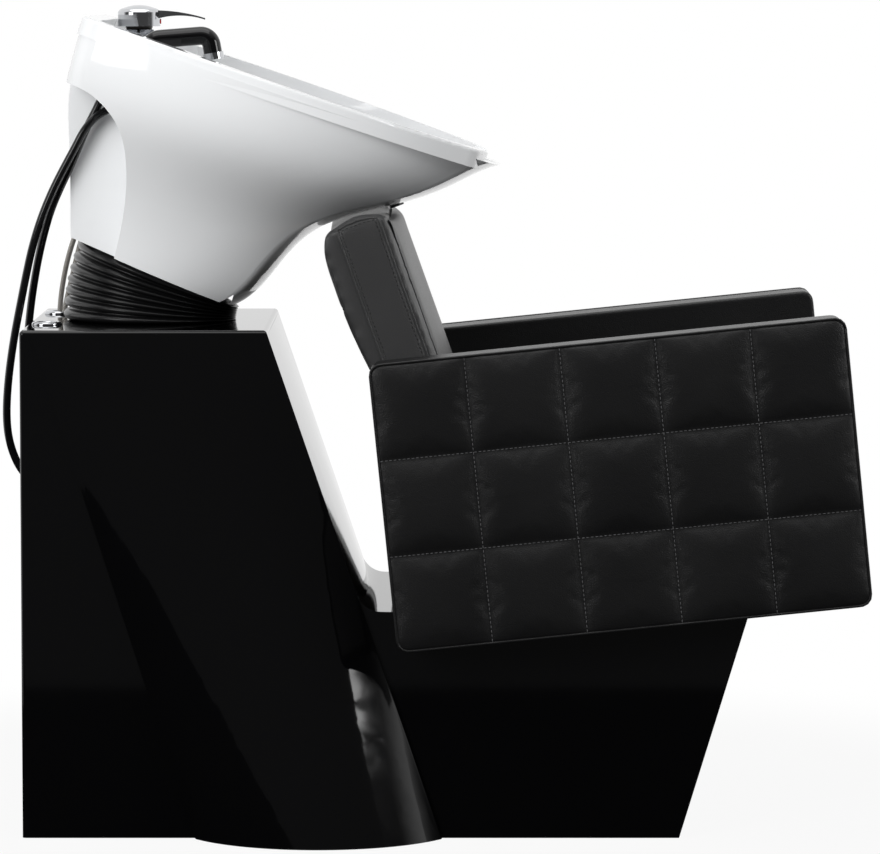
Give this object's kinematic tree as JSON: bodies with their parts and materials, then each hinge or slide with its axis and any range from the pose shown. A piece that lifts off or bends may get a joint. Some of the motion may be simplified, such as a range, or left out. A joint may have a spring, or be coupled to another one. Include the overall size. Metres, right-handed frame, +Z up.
{
  "type": "hair washing bed",
  "caption": "Salon hair washing unit: tilting ceramic basin with mixer and pull-out hand shower on a gloss base that carries a quilted, upholstered reclining chair.",
  "frame": {"origin": "middle of the base's footprint, on the floor", "axes": "+Z up, +X from the basin towards the sitter's feet, +Y the sitter's left"},
  "size_m": [1.0299, 0.602, 0.985],
  "materials": {
    "gloss_black": "high gloss lacquer",
    "steel": "zinc plated",
    "steel_plate": "zinc plated",
    "steel_frame": "black powder coat",
    "chrome": "polished",
    "black_rubber": "satin",
    "black_plastic": "satin",
    "grey_plastic": "ribbed",
    "gloss_plastic_black": "gloss",
    "red_plastic": "gloss",
    "white_ceramic": "gloss glaze",
    "brass": "turned",
    "black_hose": "smooth gloss",
    "braided_steel": "braided",
    "black_leather": "grained, soft sheen",
    "plywood": "raw"
  },
  "bodies": {
    "base": {"base_shell": "gloss_black", "service_panel": "gloss_black", "panel_screws": "steel", "floor_plate": "steel_plate", "inner_frame": "steel_frame", "ring_grommet_left": "chrome", "ring_grommet_right": "chrome", "wall_grommets": "black_rubber", "tilt_bracket_lower": "steel_plate", "bracket_bolts": "steel", "tilt_axle": "steel", "axle_nut": "steel", "friction_washers": "black_plastic", "bellows": "black_rubber", "bellows_ring_base": "black_plastic", "waste_hose": "grey_plastic", "shower_hose": "black_hose", "supply_hose_hot": "braided_steel", "supply_hose_cold": "braided_steel", "supply_connectors": "brass", "armrest_pad_left": "black_leather", "armrest_pad_right": "black_leather", "armrest_liner_left": "black_leather", "armrest_liner_right": "black_leather", "armrest_board_left": "plywood", "armrest_board_right": "plywood", "armrest_bolts": "steel", "seat_board": "plywood", "seat_brackets": "steel_plate", "seat_screws": "steel", "seat_risers": "steel_frame", "riser_bolts": "steel", "seat_cushion": "black_leather", "backrest_body": "black_leather", "backrest_board": "plywood", "backrest_bars": "steel_plate", "backrest_cushion": "black_leather"},
    "basin": {"basin": "white_ceramic", "tilt_bracket_upper": "steel_plate", "basin_bolts": "steel", "drain": "chrome", "drain_locknut": "brass", "bellows_ring_basin": "black_plastic", "mixer_body": "chrome", "mixer_locknut": "brass", "shower_dock": "chrome", "deck_cap": "chrome", "rubber_bumper": "black_rubber"},
    "cartridge": {"cartridge_ball": "brass"},
    "lever": {"lever_cap": "chrome", "lever_dot": "red_plastic"},
    "hand_shower": {"hand_shower": "gloss_plastic_black", "spray_head": "chrome", "shower_cone": "chrome"},
    "strainer": {"hair_strainer": "chrome"}
  },
  "joints": [
    {"name": "basin_tilt", "type": "hinge", "parent": "base", "child": "basin", "pos_m": [-0.166, 0, 0.671], "axis": [0, 1, 0], "range_deg": [-19, 0], "deforming": ["bellows", "shower_hose", "supply_hose_hot", "supply_hose_cold", "waste_hose"]},
    {"name": "lever_swivel", "type": "hinge", "parent": "basin", "child": "cartridge", "pos_m": [-0.262, 0.06, 0.962], "axis": [0, 0, 1], "range_deg": [-50, 50]},
    {"name": "lever_lift", "type": "hinge", "parent": "cartridge", "child": "lever", "pos_m": [-0.262, 0.06, 0.962], "axis": [0, -1, 0], "range_deg": [0, 15]},
    {"name": "shower_lift", "type": "slide", "parent": "basin", "child": "hand_shower", "axis": [0.3256, 0, 0.9455], "range_m": [0, 0.045]},
    {"name": "strainer_lift", "type": "slide", "parent": "basin", "child": "strainer", "axis": [0.3256, 0, 0.9455], "range_m": [0, 0.03]}
  ]
}
